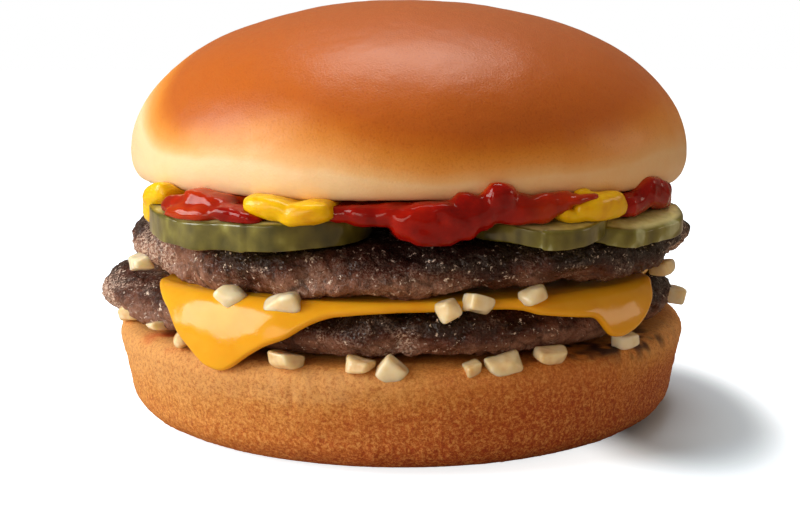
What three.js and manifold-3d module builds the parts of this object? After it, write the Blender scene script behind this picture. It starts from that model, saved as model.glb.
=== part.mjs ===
// A double cheeseburger, in millimetres, +Z up. The origin is the centre of the heel's flat base, and -Y is the front.
// A bearing is an angle round the stack, from the front towards +X. Every layer is one closed form worked out from it.
import * as THREE from "three";
import { mergeVertices } from "three/addons/utils/BufferGeometryUtils.js";
import Module from "manifold-3d";

const wasm = await Module();
wasm.setup();

// Driving dimensions
const GAP = 0.35; // left between pieces that touch
const HEEL = { radius: 50, foot: 41.4, height: 16.5, rimRound: 2.8, footOut: 6.9, footUp: 5.6, columns: 50 };
const CROWN = { radius: 48.3, lip: 45.9, underside: 40.2, widest: 44.6, top: 70.5, shiftX: 1.1, lean: 0.01, columns: 50 };
const LOWER = { radius: 47.9, wide: 0.6, middle: 20.6, half: 3.45, shoulder: 4.6, edge: 3.8, columns: 64 };
const UPPER = { radius: 48, wide: 0.9, middle: 30.75, half: 3.5, shoulder: 8, edge: 4, columns: 64 };
const UPPER_LEAN = 0.008; // rise of everything above the cheese, per millimetre towards +X
const SETTLED = { bearing: -8, halfWidth: 44, depth: 0.85 }; // where the upper patty has sunk at the front
const CHEESE = { flat: 44.2, thick: 1.5, bottom: 24.55, edge: 45.5, fold: 3.2, hang: 66, columns: 68 };
const PICKLE = { seat: 34.6, round: 0.8, columns: 24 };
const SAUCE = { lip: 4.2, thin: 0.45, columns: 52, crowding: 0.42 };
const ONION = { upperReach: 47.6, lowerReach: 48.6, depth: 4.8 };

// The melted corners of the cheese: bearing of the tip, its length, and for the side towards -X and the side
// towards +X the half width in degrees and how full the edge is (1 is straight)
const CORNERS = [
  { tip: -32, length: 13.6, sides: [[21, 2.3], [23.5, 1.35]] },
  { tip: 42, length: 10.6, sides: [[22, 1.6], [15, 2.6]] },
  { tip: 133, length: 11.5, sides: [[27, 1.4], [25, 1.5]] },
  { tip: -137, length: 12.5, sides: [[24, 1.5], [27, 1.4]] },
];

// The pickle slices: place of the centre, half the width and depth, turn of the oval, thickness, and the bend over
// the patty's shoulder, as its bearing, the distance where it starts, and its rate
const PICKLES = {
  pickle_left: { at: [-22.5, -28.5], size: [15.5, 20.5], turn: 44, thick: 3.6, bend: [-39, 43.5, 0.02] },
  pickle_middle: { at: [20.3, -33.7], size: [10.5, 12.3], turn: 0, thick: 3.3, bend: [31, 44, 0.024] },
  pickle_right: { at: [31.2, -23.4], size: [14.3, 14.2], turn: 0, thick: 2.5, bend: [25, 40, 0.035] },
  pickle_back: { at: [-4, 30], size: [15.5, 14.8], turn: 20, thick: 3, bend: [188, 40, 0.03] },
};

// The sauces: where the sheet ends under the crown, its top, and the radius and foot of its thicker core. The lobes
// show at the rim: bearing, half width in degrees, reach, highest and lowest height
const MUSTARD = {
  end: 32,
  top: 39.85,
  core: [27, 39.4],
  lobes: [
    [-57, 9, 47.6, 41, 35.8],
    [-19.5, 10, 49.2, 41.6, 36.9],
    [37.5, 7, 49.8, 41.9, 36.6],
    [97, 8, 48.6, 40.6, 36.4],
    [146, 9, 49, 40.2, 35.6],
    [-146, 8, 48.8, 40, 36],
  ],
};
const KETCHUP = {
  end: 36,
  top: 38.95,
  core: [25, 34.95],
  lobes: [
    [-42.5, 13, 48.8, 41.6, 36.8],
    [-4, 7, 48.4, 40.6, 36.8],
    [5.5, 9, 50, 41.4, 33.9],
    [16.5, 7.5, 50.4, 43.8, 36.2],
    [27, 7, 49.6, 42.2, 36.4],
    [53, 10.5, 50.2, 43.6, 36.4],
    [121, 9, 49.2, 41, 35.2],
    [-170, 12, 49.4, 40.8, 36.4],
    [-112, 11, 49, 41.4, 35.4],
  ],
};

// Diced onion that shows: bearing, height of the middle, length, thickness, turn in degrees
const UPPER_ONIONS = [
  [-58, 27.4, 6.6, 2.9, 8],
  [-32, 25.7, 5.4, 3.4, -24],
  [-21.8, 25.5, 7, 4, 14],
  [8, 25, 4, 3.5, 20],
  [13.6, 26.2, 5.2, 3.4, -12],
  [24, 26.6, 5.2, 2.8, 10],
  [60, 27.4, 6.2, 3, 4],
];
const LOWER_ONIONS = [
  [79, 19.4, 5, 3.4, 0],
  [-72, 17.3, 6.4, 3, 10],
  [-54, 17, 4.8, 2.4, 6],
  [-44, 16.6, 4.8, 3, -18],
  [-20.4, 17.1, 5.6, 3.4, 4],
  [-7.3, 17, 5.2, 2.8, 2],
  [-1.5, 16.1, 4.8, 3.6, -32],
  [11.4, 16.8, 3.4, 2.4, 8],
  [17.7, 16.5, 6.8, 2.9, 9],
  [26.8, 17.3, 5.8, 2.6, -6],
  [46, 17.2, 5, 3.2, 12],
];
// The back has the same dice, spread by a rule
const BACK_ONIONS = { upper: 4, lower: 4, from: 104, to: 262, upperHeight: 26.2, lowerHeight: 17 };

const rad = THREE.MathUtils.degToRad;

// A repeatable draw between -1 and 1
function draw(seed) {
  const x = Math.sin(seed * 12.9898 + 4.1414) * 43758.5453;
  return 2 * (x - Math.floor(x)) - 1;
}

// 1 at a bearing, falling smoothly to 0 over the half width on each side
function bump(bearing, middle, halfWidth) {
  const away = Math.abs(((((bearing - rad(middle)) / Math.PI + 5) % 2) - 1) * Math.PI) / rad(halfWidth);
  return away >= 1 ? 0 : (1 - away * away) ** 2;
}

// Points of a profile on an ellipse's arc, angles in degrees from outwards, up
function arc(r, z, acrossBy, upBy, from, to, steps) {
  const points = [];
  for (let i = 0; i <= steps; i++) {
    const angle = rad(from + ((to - from) * i) / steps);
    points.push([r + acrossBy * Math.cos(angle), z + upBy * Math.sin(angle)]);
  }
  return points;
}

// A closed form from rows of [radius, height], top pole to bottom pole, which change with the bearing.
// A sphere's grid carries it, so that both poles close. Crowding draws its columns towards the front.
function turned(rowsAt, columns, crowding = 0) {
  const rows = rowsAt(0).length;
  const grid = new THREE.SphereGeometry(1, columns, rows - 1);
  const place = grid.getAttribute("position");
  for (let column = 0; column <= columns; column++) {
    const share = (2 * Math.PI * (column % columns)) / columns;
    const bearing = share - crowding * Math.sin(share);
    rowsAt(bearing).forEach(([r, z, aside = 0], row) => {
      const turn = bearing + aside;
      place.setXYZ(row * (columns + 1) + column, r * Math.sin(turn), -r * Math.cos(turn), z);
    });
  }
  return grid;
}

// Moves every vertex by a function of its place
function moved(geometry, change) {
  const place = geometry.getAttribute("position");
  for (let i = 0; i < place.count; i++) {
    place.setXYZ(i, ...change(place.getX(i), place.getY(i), place.getZ(i)));
  }
  return geometry;
}

function bare(geometry) {
  const copy = geometry.clone();
  copy.deleteAttribute("normal");
  copy.deleteAttribute("uv");
  return mergeVertices(copy, 1e-4);
}

// The same form with its skin pushed outwards, to cut a clearance with
function grown(geometry, by = GAP) {
  const copy = bare(geometry);
  copy.computeVertexNormals();
  const place = copy.getAttribute("position");
  const normal = copy.getAttribute("normal");
  for (let i = 0; i < place.count; i++) {
    place.setXYZ(
      i,
      place.getX(i) + by * normal.getX(i),
      place.getY(i) + by * normal.getY(i),
      place.getZ(i) + by * normal.getZ(i),
    );
  }
  copy.deleteAttribute("normal");
  return copy;
}

function solidOf(geometry) {
  const g = bare(geometry);
  return new wasm.Manifold(
    new wasm.Mesh({ numProp: 3, vertProperties: g.attributes.position.array, triVerts: g.index.array }),
  );
}

// The largest body that is left of a geometry when its grown neighbours are cut away
function cutClear(geometry, neighbours) {
  let solid = solidOf(geometry);
  for (const neighbour of neighbours) solid = solid.subtract(solidOf(grown(neighbour)));
  const largest = solid.decompose().sort((a, b) => b.volume() - a.volume())[0];
  const mesh = largest.getMesh();
  const g = new THREE.BufferGeometry();
  g.setAttribute("position", new THREE.BufferAttribute(mesh.vertProperties, 3));
  g.setIndex(new THREE.BufferAttribute(mesh.triVerts, 1));
  return g;
}

// How far the layers over the lower patty have sunk at a place, most at the rim
function settled(x, y) {
  const { bearing, halfWidth, depth } = SETTLED;
  return depth * bump(Math.atan2(x, -y), bearing, halfWidth) * Math.min(1, Math.hypot(x, y) / 44) ** 4;
}

// The heel: a flat top, a rounded rim, a wall that draws in a little towards a flat foot
function heel() {
  const { radius, foot, height, rimRound, footOut, footUp, columns } = HEEL;
  return turned((bearing) => {
    const uneven = 0.3 * Math.sin(3 * bearing + 1) + 0.22 * Math.sin(5 * bearing + 0.4);
    const rows = [
      [0, height],
      [radius * 0.84, height],
      ...arc(radius - rimRound, height - rimRound, rimRound, rimRound, 90, -5, 4),
      [radius - 1.1, height * 0.52],
      ...arc(foot, footUp, footOut, footUp, 0, -90, 4),
      [0, 0],
    ];
    return rows.map(([r, z]) => [r + (uneven * r * z) / (radius * height), z]);
  }, columns);
}

// The crown: half an ellipse turned, full at the shoulder, with a lip that curls in under its widest height
function crown() {
  const { radius, lip, underside, widest, top, shiftX, lean, columns } = CROWN;
  const dome = turned((bearing) => {
    const uneven = 0.25 * Math.sin(2 * bearing + 0.6) + 0.2 * Math.sin(5 * bearing + 2);
    const full = arc(0, 0, 1, 1, 90, 0, 8).map(([r, z]) => [
      radius * Math.max(0, r) ** 0.96,
      widest + (top - widest) * Math.max(0, z) ** 0.98,
    ]);
    const rows = [
      ...full,
      ...arc(lip, widest, radius - lip, widest - underside, -30, -90, 2),
      [0, underside],
    ];
    rows[0] = [0, top];
    return rows.map(([r, z]) => [r + (uneven * r) / radius, z]);
  }, columns);
  return moved(dome, (x, y, z) => [x + shiftX, y, z - lean * y]);
}

// Lumps of ground meat round a patty's edge
function crag(bearing, z) {
  return (
    0.5 * Math.sin(7 * bearing + 0.5 * z + 1) +
    0.42 * Math.sin(12 * bearing - 0.8 * z + 2) +
    0.36 * Math.sin(19 * bearing + 1.1 * z + 1.5)
  );
}

// A patty: a disc of ground meat with a craggy rounded edge. edgeAt(bearing) says how the edge differs there.
function patty(size, edgeAt) {
  const { radius, wide, middle, half, shoulder, edge, columns } = size;
  return turned((bearing) => {
    const { reach, lift, crags } = edgeAt(bearing);
    const rim = radius - wide * Math.cos(2 * bearing) + reach;
    const rows = [
      [0, half],
      ...arc(rim - shoulder, 0, shoulder, half, 90, 0, 4),
      ...arc(rim - edge, 0, edge, half, -25, -90, 3),
      [0, -half],
    ];
    return rows.map(([r, z]) => {
      const outer = (r / rim) ** 8;
      return [r + crags * crag(bearing, middle + z) * outer, middle + z + lift * outer];
    });
  }, columns);
}

// The lower patty has a tongue to the left, which curls up, and is pressed smooth under the hanging cheese corners
function lowerPatty() {
  return patty(LOWER, (bearing) => {
    const tongue = bump(bearing, -86, 34);
    const over = Math.max(...[-5, 0, 5].map((degrees) => sliceReach(bearing + rad(degrees)))) - CHEESE.edge;
    const pressed = Math.min(1, Math.max(0, over) / 3);
    return { reach: 4 * tongue - 1.3 * pressed, lift: 0.9 * tongue, crags: 1 - 0.8 * pressed };
  });
}

// The upper patty leans a little to the left, and its front has sunk towards the lower one
function upperPatty() {
  const disc = patty(UPPER, () => ({ reach: 0, lift: 0, crags: 1 }));
  return moved(disc, (x, y, z) => [x + 1.5, y, z + UPPER_LEAN * x - settled(x, y)]);
}

// How far the cheese slice reaches from its middle at a bearing: its flat part, and four melted corners
function sliceReach(bearing) {
  let corner = 0;
  for (const { tip, length, sides } of CORNERS) {
    const off = ((THREE.MathUtils.radToDeg(bearing) - tip + 900) % 360) - 180;
    const [halfWidth, fullness] = sides[off < 0 ? 0 : 1];
    corner = Math.max(corner, length * (1 - (Math.abs(off) / halfWidth) ** fullness));
  }
  return CHEESE.flat + corner;
}

// Where a point of the slice lies once it is draped: flat to the edge, then round a fold, then down the side.
// Gives [radius, height, outward part and upward part of the slice's normal]
function drape(flat, height) {
  const { edge, fold, hang } = CHEESE;
  const past = Math.max(0, flat - edge);
  const angle = Math.min(past / fold, rad(hang));
  const down = Math.max(0, past - fold * rad(hang));
  return [
    Math.min(flat, edge) + fold * Math.sin(angle) + down * Math.cos(angle),
    height - fold * (1 - Math.cos(angle)) - down * Math.sin(angle),
    Math.sin(angle),
    Math.cos(angle),
  ];
}

// The cheese: one slice between the patties, with its four corners melted down over the lower one
function cheese() {
  const { thick, bottom, columns } = CHEESE;
  const height = bottom + thick / 2;
  return turned((bearing) => {
    const reach = sliceReach(bearing);
    const top = [0, 0.78, 0.83, 0.88, 0.94].map((share) => [share * reach, thick / 2]);
    const end = [40, -40].map((degrees) => [
      reach - thick / 2 + (thick / 2) * Math.cos(rad(degrees)),
      (thick / 2) * Math.sin(rad(degrees)),
    ]);
    const under = top.map(([flat, off]) => [flat, -off]).reverse();
    return [...top, ...end, ...under].map(([flat, off]) => {
      const [r, z, outwards, upwards] = drape(flat, height);
      return [r + off * outwards, z + off * upwards];
    });
  }, columns);
}

// A pickle slice: a wavy-edged oval disc that bends down over the upper patty's shoulder
function pickle({ at, size, turn, thick, bend }, seed) {
  const { seat, round, columns } = PICKLE;
  const [bendBearing, bendFrom, bendRate] = bend;
  const disc = turned((bearing) => {
    const wave = 1 + 0.022 * Math.sin(5 * bearing + seed) + 0.014 * Math.sin(8 * bearing + 2 * seed);
    const along = bearing - rad(turn);
    const rim = wave / Math.hypot(Math.sin(along) / size[0], Math.cos(along) / size[1]);
    return [
      [0, thick],
      [rim * 0.62, thick],
      ...arc(rim - round, thick - round, round, round, 90, 0, 1),
      ...arc(rim - round, round, round, round, 0, -90, 1),
      [rim * 0.62, 0],
      [0, 0],
    ];
  }, columns);
  return moved(disc, (x, y, z) => {
    const [placeX, placeY] = [x + at[0], y + at[1]];
    const outwards = placeX * Math.sin(rad(bendBearing)) - placeY * Math.cos(rad(bendBearing));
    const sunk = settled(placeX, placeY) + bendRate * Math.max(0, outwards - bendFrom) ** 2;
    return [placeX, placeY, z + seat + UPPER_LEAN * placeX - sunk];
  });
}

// A sauce: a thin sheet under the crown, pooled between the pickles in the middle, that swells into lobes where it is
// pressed out at the rim. Between the lobes the sheet ends under the crown.
function sauce({ end, top, core, lobes }) {
  const { lip, thin, columns, crowding } = SAUCE;
  return turned((bearing) => {
    let [share, reach, high, low] = [0, end, top, top - thin];
    for (const [at, halfWidth, out, highest, lowest] of lobes) {
      const here = Math.min(1, 1.6 * bump(bearing, at, halfWidth));
      if (here <= share) continue;
      share = here;
      reach = end + (out - end) * share;
      high = top + (highest - top) * share;
      low = top - thin + (lowest - top + thin) * share;
    }
    return [
      [0, top],
      [end - 5, top],
      ...arc(reach - lip, (high + low) / 2, lip, (high - low) / 2, 60, -60, 4),
      [end - 5, top - thin],
      core,
      [0, core[1]],
    ];
  }, columns, crowding);
}

// One cut piece of onion: a small rounded block, no two alike
function onion([at, height, long, tall, turn], reach, seed) {
  const block = new THREE.SphereGeometry(1, 8, 4);
  const squared = (c) => Math.sign(c) * Math.abs(c) ** 0.6;
  moved(block, (x, y, z) => [squared(x), squared(y), squared(z)]);
  moved(block, (x, y, z) => [
    (x * long * (1 + 0.14 * z * draw(seed))) / 2,
    (y * ONION.depth * (1 + 0.12 * x * draw(seed + 1))) / 2,
    (z * tall * (1 + 0.2 * x * draw(seed + 2))) / 2,
  ]);
  block.rotateX(rad(10 * draw(seed + 3)));
  block.rotateY(rad(-turn));
  block.rotateZ(rad(12 * draw(seed + 4)));
  block.translate(0, -reach, height);
  block.rotateZ(rad(at));
  return block;
}

// The onions of one level, those of the back added by rule
function onionRow(shown, count, height, seed) {
  const { from, to } = BACK_ONIONS;
  const hidden = Array.from({ length: count }, (_, i) => [
    from + ((to - from) * (i + 0.5 + 0.3 * draw(seed + i))) / count,
    height + 0.4 * draw(seed + 20 + i),
    5.2 + 1.2 * draw(seed + 40 + i),
    3.1 + 0.5 * draw(seed + 60 + i),
    16 * draw(seed + 80 + i),
  ]);
  return [...shown, ...hidden];
}

const materials = {
  heel: new THREE.MeshStandardMaterial({ color: 0xd9894a, roughness: 0.75, metalness: 0 }),
  crown: new THREE.MeshStandardMaterial({ color: 0xc9793a, roughness: 0.4, metalness: 0 }),
  patty: new THREE.MeshStandardMaterial({ color: 0x4a2c22, roughness: 0.5, metalness: 0 }),
  cheese: new THREE.MeshStandardMaterial({ color: 0xf5a623, roughness: 0.3, metalness: 0 }),
  pickle: new THREE.MeshStandardMaterial({ color: 0x7d8136, roughness: 0.3, metalness: 0 }),
  mustard: new THREE.MeshStandardMaterial({ color: 0xf0c21a, roughness: 0.35, metalness: 0 }),
  ketchup: new THREE.MeshStandardMaterial({ color: 0xa01410, roughness: 0.15, metalness: 0 }),
  onion: new THREE.MeshStandardMaterial({ color: 0xe8dcb8, roughness: 0.35, metalness: 0 }),
};

const burger = new THREE.Group();

function add(name, geometry, material) {
  const mesh = new THREE.Mesh(geometry, materials[material]);
  mesh.name = name;
  burger.add(mesh);
}

const layers = { heel: heel(), patty_lower: lowerPatty(), cheese: cheese(), patty_upper: upperPatty(), crown: crown() };
add("heel", layers.heel, "heel");
add("patty_lower", layers.patty_lower, "patty");
add("cheese", layers.cheese, "cheese");
add("patty_upper", layers.patty_upper, "patty");
add("crown", layers.crown, "crown");

const slices = Object.entries(PICKLES).map(([name, slice], i) => [name, pickle(slice, 1.3 * i)]);
const middle = slices.find(([name]) => name === "pickle_middle")[1];
for (const [name, geometry] of slices) {
  add(name, name === "pickle_right" ? cutClear(geometry, [middle]) : geometry, "pickle");
}

const round = [layers.crown, layers.patty_upper, ...slices.map(([, geometry]) => geometry)];
const mustard = sauce(MUSTARD);
add("mustard", cutClear(mustard, round), "mustard");
add("ketchup", cutClear(sauce(KETCHUP), [...round, mustard]), "ketchup");

const upperRow = onionRow(UPPER_ONIONS, BACK_ONIONS.upper, BACK_ONIONS.upperHeight, 3);
upperRow.forEach((piece, i) => {
  const neighbours = [layers.patty_lower, layers.cheese, layers.patty_upper];
  const block = onion(piece, ONION.upperReach + 0.8 * draw(i), 7 * i);
  add(`onion_upper_${i + 1}`, cutClear(block, neighbours), "onion");
});

const lowerRow = onionRow(LOWER_ONIONS, BACK_ONIONS.lower, BACK_ONIONS.lowerHeight, 203);
lowerRow.forEach((piece, i) => {
  const block = onion(piece, ONION.lowerReach + 0.6 * draw(i + 50), 7 * i + 300);
  add(`onion_lower_${i + 1}`, cutClear(block, [layers.heel, layers.patty_lower, layers.cheese]), "onion");
});

export default burger;
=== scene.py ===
# A double cheeseburger on a pale studio floor. Shapes are worked out in millimetres and put into meshes in metres.
import functools
import math

import bpy
import numpy as np
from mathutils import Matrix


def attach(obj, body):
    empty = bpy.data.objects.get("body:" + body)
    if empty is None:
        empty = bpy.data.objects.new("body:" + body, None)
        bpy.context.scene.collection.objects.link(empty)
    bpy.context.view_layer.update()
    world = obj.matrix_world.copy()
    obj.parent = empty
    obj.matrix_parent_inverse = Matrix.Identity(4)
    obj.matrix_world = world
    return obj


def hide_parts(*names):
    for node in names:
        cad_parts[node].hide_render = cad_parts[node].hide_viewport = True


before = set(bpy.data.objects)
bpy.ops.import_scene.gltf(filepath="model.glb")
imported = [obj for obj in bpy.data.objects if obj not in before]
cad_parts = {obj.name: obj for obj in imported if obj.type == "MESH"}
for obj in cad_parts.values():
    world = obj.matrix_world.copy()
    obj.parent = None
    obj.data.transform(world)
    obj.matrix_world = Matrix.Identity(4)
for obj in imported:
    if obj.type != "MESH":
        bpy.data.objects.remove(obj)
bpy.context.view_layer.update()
print("frame loaded:", len(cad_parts), "nodes")

mm = 0.001
upperLean = 0.008  # rise of everything above the cheese, per millimetre towards +X


# A repeatable draw from -1 to 1: the fraction of a large multiple of a sine
def draw(seed):
    x = math.sin(seed * 12.9898 + 4.1414) * 43758.5453
    return 2 * (x - math.floor(x)) - 1


# A draw from 0 to 1 for each cell of a lattice: its three whole numbers mixed by large odd factors
def cellDraw(cells, seed):
    c = cells.astype(np.int64)
    h = (c[..., 0] * 73856093) ^ (c[..., 1] * 19349663) ^ (c[..., 2] * 83492791) ^ (seed * 668265263)
    h = (h ^ (h >> 13)) * 1274126177
    h = (h ^ (h >> 16)) * 2246822519
    return ((h ^ (h >> 15)) & 0xFFFFFF) / float(0x1000000)


# Smooth noise from -1 to 1: draws at the lattice corners, blended along each axis by 3t^2 - 2t^3
def softNoise(points, size, seed):
    p = points / size
    base = np.floor(p)
    t = p - base
    t = t * t * (3 - 2 * t)
    total = 0
    for i in (0, 1):
        for j in (0, 1):
            for k in (0, 1):
                weight = (t[..., 0] if i else 1 - t[..., 0]) * (t[..., 1] if j else 1 - t[..., 1])
                weight = weight * (t[..., 2] if k else 1 - t[..., 2])
                total = total + weight * cellDraw(base + np.array([i, j, k]), seed)
    return 2 * total - 1


# Lumps: one point is drawn in each lattice cell. Gives the distance to the nearest, how much further the second
# is, both in lattice sizes, and a draw that belongs to the nearest
def lumpNoise(points, size, seed):
    p = points / size
    base = np.floor(p)
    nearest = np.full(p.shape[:-1], 9.0)
    second = np.full(p.shape[:-1], 9.0)
    own = np.zeros(p.shape[:-1])
    for i in (-1, 0, 1):
        for j in (-1, 0, 1):
            for k in (-1, 0, 1):
                cell = base + np.array([i, j, k])
                spot = np.stack([cellDraw(cell, seed + n) for n in (0, 1, 2)], axis=-1)
                away = np.linalg.norm(cell + spot - p, axis=-1)
                closer = away < nearest
                second = np.where(closer, nearest, np.minimum(second, away))
                own = np.where(closer, spot[..., 0], own)
                nearest = np.where(closer, away, nearest)
    return nearest, second - nearest, own


# 1 at a bearing in degrees, falling to 0 at the half width: (1 - away^2)^2
def bump(bearing, middle, halfWidth):
    away = np.abs(((np.degrees(bearing) - middle + 900) % 360) - 180) / halfWidth
    return np.where(away >= 1, 0.0, (1 - np.minimum(away, 1) ** 2) ** 2)


# The sum of bumps, each given by its middle, half width and height
def bumps(bearing, spots):
    return sum(height * bump(bearing, middle, halfWidth) for middle, halfWidth, height in spots)


# 0 below low, 1 above high, 3t^2 - 2t^3 between
def smooth(x, low, high):
    t = np.clip((x - low) / (high - low), 0, 1)
    return t * t * (3 - 2 * t)


# How much lower the upper patty's underside hangs at the front left; the cheese under it gives way a little
def frontSag(bearing):
    return 1.7 * bump(bearing, -36, 42)


# How far the layers over the lower patty have sunk: most at the front rim
def settled(x, y):
    return 0.85 * bump(np.arctan2(x, -y), -8, 44) * np.minimum(1, np.hypot(x, y) / 44) ** 4


# Bearings of the columns, from the front towards +X
def bearings(count):
    return np.arange(count) * 2 * np.pi / count


# Rows on an ellipse's arc: r + across cos(angle), z + up sin(angle), degrees from outwards, up
def arcRows(r, z, across, up, start, end, steps):
    angle = np.radians(np.linspace(start, end, steps + 1))[:, None]
    return r + across * np.cos(angle), z + up * np.sin(angle)


# Rows on a straight line between two points of the profile
def lineRows(r0, z0, r1, z1, steps):
    share = np.linspace(0, 1, steps + 1)[:, None]
    return r0 + (r1 - r0) * share, z0 + (z1 - z0) * share


# Parts of a profile one after another, each column with its own; shared end rows are kept once
def joinRows(count, *parts):
    rows = []
    for index, (r, z) in enumerate(parts):
        r, z = np.broadcast_to(r, (len(r), count)), np.broadcast_to(z, (len(z), count))
        rows.append((r[min(index, 1):], z[min(index, 1):]))
    return np.vstack([r for r, z in rows]), np.vstack([z for r, z in rows])


# Radius and height to places: x = r sin(bearing), y = -r cos(bearing)
def turned(r, z, bearing):
    return np.stack([r * np.sin(bearing), -r * np.cos(bearing), z + 0 * r], axis=-1)


# Outward directions: the step down the rows crossed with the step round the columns; a pole, where the columns
# meet, takes the mean of the row beside it
def outwards(points):
    down = np.gradient(points, axis=0)
    around = np.roll(points, -1, 1) - np.roll(points, 1, 1)
    n = np.cross(down, around)
    n[0], n[-1] = n[1].mean(axis=0), n[-2].mean(axis=0)
    return n / (np.linalg.norm(n, axis=-1, keepdims=True) + 1e-9)


# Moves each point along its outward direction by the relief there
def raised(points, relief):
    return points + outwards(points) * relief[..., None]


# One value a point, with the first and the last row each drawn together into a pole
def poled(values):
    return np.concatenate([values[:1, 0], values[1:-1].reshape((-1,) + values.shape[2:]), values[-1:, 0]])


# The faces of a closed skin whose rows run from the top pole to the bottom pole: quads, and triangles at the poles
def skinFaces(rows, columns):
    index = 1 + np.arange((rows - 2) * columns).reshape(rows - 2, columns)
    beside = np.roll(index, -1, 1)
    quads = np.stack([index[:-1], index[1:], beside[1:], beside[:-1]], axis=-1).reshape(-1, 4)
    last = (rows - 2) * columns + 1
    top = np.stack([0 * index[0], index[0], beside[0]], axis=-1)
    bottom = np.stack([index[-1], 0 * index[-1] + last, beside[-1]], axis=-1)
    return quads, np.concatenate([top, bottom])


# Gives a mesh attributes, each one number a point
def paint(mesh, attributes):
    for key, values in attributes.items():
        layer = mesh.attributes.new(key, "FLOAT", "POINT")
        layer.data.foreach_set("value", values.astype(np.float32).ravel())


# Closed skins, one or several, as one mesh object, with its attributes on the same grid
def closedSkin(name, skins, attributes=None):
    skins = skins if isinstance(skins, list) else [skins]
    places, quads, triangles, count = [], [], [], 0
    for points in skins:
        skinQuads, skinTriangles = skinFaces(*points.shape[:2])
        places.append(poled(points))
        quads.append(skinQuads + count)
        triangles.append(skinTriangles + count)
        count += len(places[-1])
    places, quads, triangles = np.concatenate(places), np.concatenate(quads), np.concatenate(triangles)
    mesh = bpy.data.meshes.new(name)
    mesh.vertices.add(len(places))
    mesh.vertices.foreach_set("co", (places * mm).astype(np.float32).ravel())
    corners = np.concatenate([quads.ravel(), triangles.ravel()]).astype(np.int32)
    starts = np.concatenate([4 * np.arange(len(quads)), 4 * len(quads) + 3 * np.arange(len(triangles))])
    mesh.loops.add(len(corners))
    mesh.loops.foreach_set("vertex_index", corners)
    mesh.polygons.add(len(starts))
    mesh.polygons.foreach_set("loop_start", starts.astype(np.int32))
    mesh.update(calc_edges=True)
    mesh.validate()
    mesh.shade_smooth()
    paint(mesh, {key: poled(values) for key, values in (attributes or {}).items()})
    piece = bpy.data.objects.new(name, mesh)
    bpy.context.scene.collection.objects.link(piece)
    return piece


# Runs overlapping skins together into one soft skin: voxels of that many millimetres, then rounds of smoothing
def melted(piece, voxel, rounds):
    grid = piece.modifiers.new("melt", "REMESH")
    grid.mode = "VOXEL"
    grid.voxel_size = voxel * mm
    ease = piece.modifiers.new("ease", "SMOOTH")
    ease.iterations = rounds
    graph = bpy.context.evaluated_depsgraph_get()
    mesh = bpy.data.meshes.new_from_object(piece.evaluated_get(graph))
    piece.modifiers.clear()
    piece.data = mesh
    mesh.shade_smooth()


# A mesh's points in millimetres and their outward directions
def readPoints(mesh):
    places, normals = np.empty((2, 3 * len(mesh.vertices)), np.float32)
    mesh.vertices.foreach_get("co", places)
    mesh.vertex_normals.foreach_get("vector", normals)
    return places.reshape(-1, 3).astype(float) / mm, normals.reshape(-1, 3).astype(float)


# Puts a finished piece on the burger in place of its solid
def serve(piece, node, material):
    piece.data.materials.append(material)
    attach(piece, "root")
    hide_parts(node)


# sRGB hex to linear light
def linear(hexColour):
    parts = [int(hexColour[i:i + 2], 16) / 255 for i in (1, 3, 5)]
    return tuple(c / 12.92 if c <= 0.04045 else ((c + 0.055) / 1.055) ** 2.4 for c in parts) + (1.0,)


# A pattern's scale for a feature of so many millimetres
def featureOf(size):
    return 1000 / size


# Feeds a node's sockets, each from another node's socket or from the first output that the other has in use. A
# source that is given alone feeds the first socket
def feed(node, links):
    for key, source in (links if isinstance(links, dict) else {0: links}).items():
        if isinstance(source, bpy.types.Node):
            source = next(output for output in source.outputs if output.enabled)
        node.id_data.links.new(source, node.inputs[key])


# Adds a shader node. Settings are its properties, its sockets' values, or a colour ramp's stops
def addNode(tree, kind, settings=None, links=None):
    node = tree.nodes.new("ShaderNode" + kind)
    for key, value in (settings or {}).items():
        if key == "stops":
            ramp = node.color_ramp
            while len(ramp.elements) < len(value):
                ramp.elements.new(0.5)
            for element, (position, colour) in zip(ramp.elements, value):
                element.position = position
                element.color = linear(colour) if isinstance(colour, str) else (colour, colour, colour, 1)
        elif isinstance(key, str) and hasattr(node, key):
            setattr(node, key, value)
        else:
            node.inputs[key].default_value = value
    feed(node, links or {})
    return node


# A material with its output and a Principled shader. The light under its skin is given by its share, its reach in
# metres and its colours. Gives the material, what adds nodes to it, the shader, the object's own coordinates, and
# the piece's attributes
def startMaterial(name, under, shader, *attributes):
    material = bpy.data.materials.new(name)
    material.use_nodes = True
    material.node_tree.nodes.clear()
    add = functools.partial(addNode, material.node_tree)
    below = zip(("Subsurface Weight", "Subsurface Scale", "Subsurface Radius"), under)
    surface = add("BsdfPrincipled", {**shader, **dict(below)})
    add("OutputMaterial", None, surface)
    place = add("TexCoord").outputs["Object"]
    return material, add, surface, place, *[add("Attribute", {"attribute_name": attribute}).outputs["Fac"]
                                            for attribute in attributes]


crownShape = {
    "radius": 48.3, "lip": 45.9, "underside": 40.2, "widest": 44.6, "top": 70.5, "shiftX": 1.1, "lean": 0.01,
    "columns": 420, "domeRows": 130, "lipRows": 26, "underRows": 34,
    "swell": 0.22, "swellSize": 15, "wrinkle": 0.09, "skinDimple": 0.03,
    "paleTo": 46.3, "paleSpots": [(12, 44, -3.3), (-80, 26, 7)],  # the cream band's top; bearing, half width, more
    "browning": 12, "quickSpots": [(18, 60, -4.5), (-44, 26, -6.2)],  # the height over which it browns
    # Darker spots: bearing, half width, how much; the one at 65 degrees is painted shade on the side away from the key
    # light
    "darkAndShadeSpots": [(65, 60, 0.05), (18, 55, 0.05)],
}


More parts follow.
